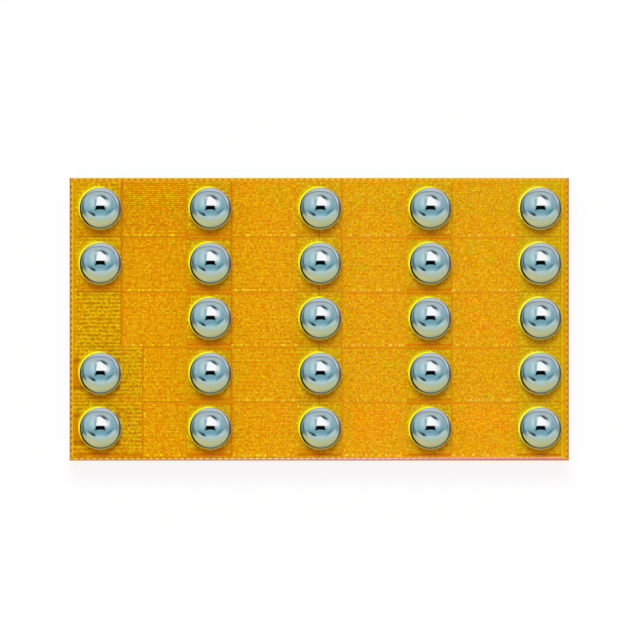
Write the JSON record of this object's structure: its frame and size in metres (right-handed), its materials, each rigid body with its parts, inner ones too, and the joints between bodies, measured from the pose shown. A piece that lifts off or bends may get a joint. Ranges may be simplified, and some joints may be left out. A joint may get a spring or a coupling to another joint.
{
  "type": "gallium nitride transistor",
  "caption": "Rectangular bare-die power transistor with a grid of round solder bumps on its amber metallised face, soldered face down to a circuit board.",
  "frame": {"origin": "centre of the flat back face of the die", "axes": "+X along the long edge, away from the gate column; +Y along the short edge, towards the first bump row; +Z out of the bumped face"},
  "size_m": [0.0046, 0.0026, 0.0008],
  "materials": {
    "silicon": "ground and sawn",
    "gallium_nitride": "clear crystal",
    "dielectric": "smooth oxide",
    "seal_metal": "smooth",
    "gate_metal": "plated",
    "comb_metal": "plated",
    "passivation": "clear amber film",
    "pad_nickel": "plated",
    "solder": "bright reflowed"
  },
  "bodies": {
    "root": {"silicon_substrate": "silicon", "gan_layer": "gallium_nitride", "interlayer_dielectric": "dielectric", "seal_ring": "seal_metal", "gate_metal": "gate_metal", "passivation_film": "passivation", "source_metal_a": "comb_metal", "drain_metal_b": "comb_metal", "source_metal_c": "comb_metal", "drain_metal_d": "comb_metal", "source_metal_e": "comb_metal", "under_bump_pad_a1": "pad_nickel", "under_bump_pad_a2": "pad_nickel", "under_bump_pad_a4": "pad_nickel", "under_bump_pad_a5": "pad_nickel", "under_bump_pad_b1": "pad_nickel", "under_bump_pad_b2": "pad_nickel", "under_bump_pad_b3": "pad_nickel", "under_bump_pad_b4": "pad_nickel", "under_bump_pad_b5": "pad_nickel", "under_bump_pad_c1": "pad_nickel", "under_bump_pad_c2": "pad_nickel", "under_bump_pad_c3": "pad_nickel", "under_bump_pad_c4": "pad_nickel", "under_bump_pad_c5": "pad_nickel", "under_bump_pad_d1": "pad_nickel", "under_bump_pad_d2": "pad_nickel", "under_bump_pad_d3": "pad_nickel", "under_bump_pad_d4": "pad_nickel", "under_bump_pad_d5": "pad_nickel", "under_bump_pad_e1": "pad_nickel", "under_bump_pad_e2": "pad_nickel", "under_bump_pad_e3": "pad_nickel", "under_bump_pad_e4": "pad_nickel", "under_bump_pad_e5": "pad_nickel", "solder_bump_a1": "solder", "solder_bump_a2": "solder", "solder_bump_a4": "solder", "solder_bump_a5": "solder", "solder_bump_b1": "solder", "solder_bump_b2": "solder", "solder_bump_b3": "solder", "solder_bump_b4": "solder", "solder_bump_b5": "solder", "solder_bump_c1": "solder", "solder_bump_c2": "solder", "solder_bump_c3": "solder", "solder_bump_c4": "solder", "solder_bump_c5": "solder", "solder_bump_d1": "solder", "solder_bump_d2": "solder", "solder_bump_d3": "solder", "solder_bump_d4": "solder", "solder_bump_d5": "solder", "solder_bump_e1": "solder", "solder_bump_e2": "solder", "solder_bump_e3": "solder", "solder_bump_e4": "solder", "solder_bump_e5": "solder"}
  },
  "joints": []
}
